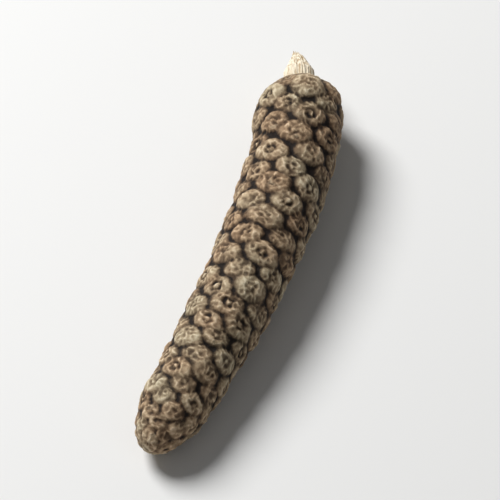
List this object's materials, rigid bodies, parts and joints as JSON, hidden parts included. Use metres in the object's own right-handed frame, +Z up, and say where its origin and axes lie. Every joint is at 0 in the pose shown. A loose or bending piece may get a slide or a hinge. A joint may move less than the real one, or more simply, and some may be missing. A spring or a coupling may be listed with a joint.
{
  "type": "dried long pepper",
  "caption": "Dried long pepper lying on its side: a slightly bent brown fruit spike covered in small berries, with a pale broken stalk stub.",
  "frame": {"origin": "under the middle of the pepper, on the surface that it lies on", "axes": "+X from the tip to the stalk along the pepper's length, +Z up from the surface that it lies on"},
  "size_m": [0.0326, 0.0068, 0.0059],
  "materials": {
    "dried_berries": "dry, wrinkled, matt brown",
    "pale_stalk": "dry, fibrous, matt straw colour"
  },
  "bodies": {
    "root": {"fruit_spike": "dried_berries", "stalk": "pale_stalk"}
  },
  "joints": []
}
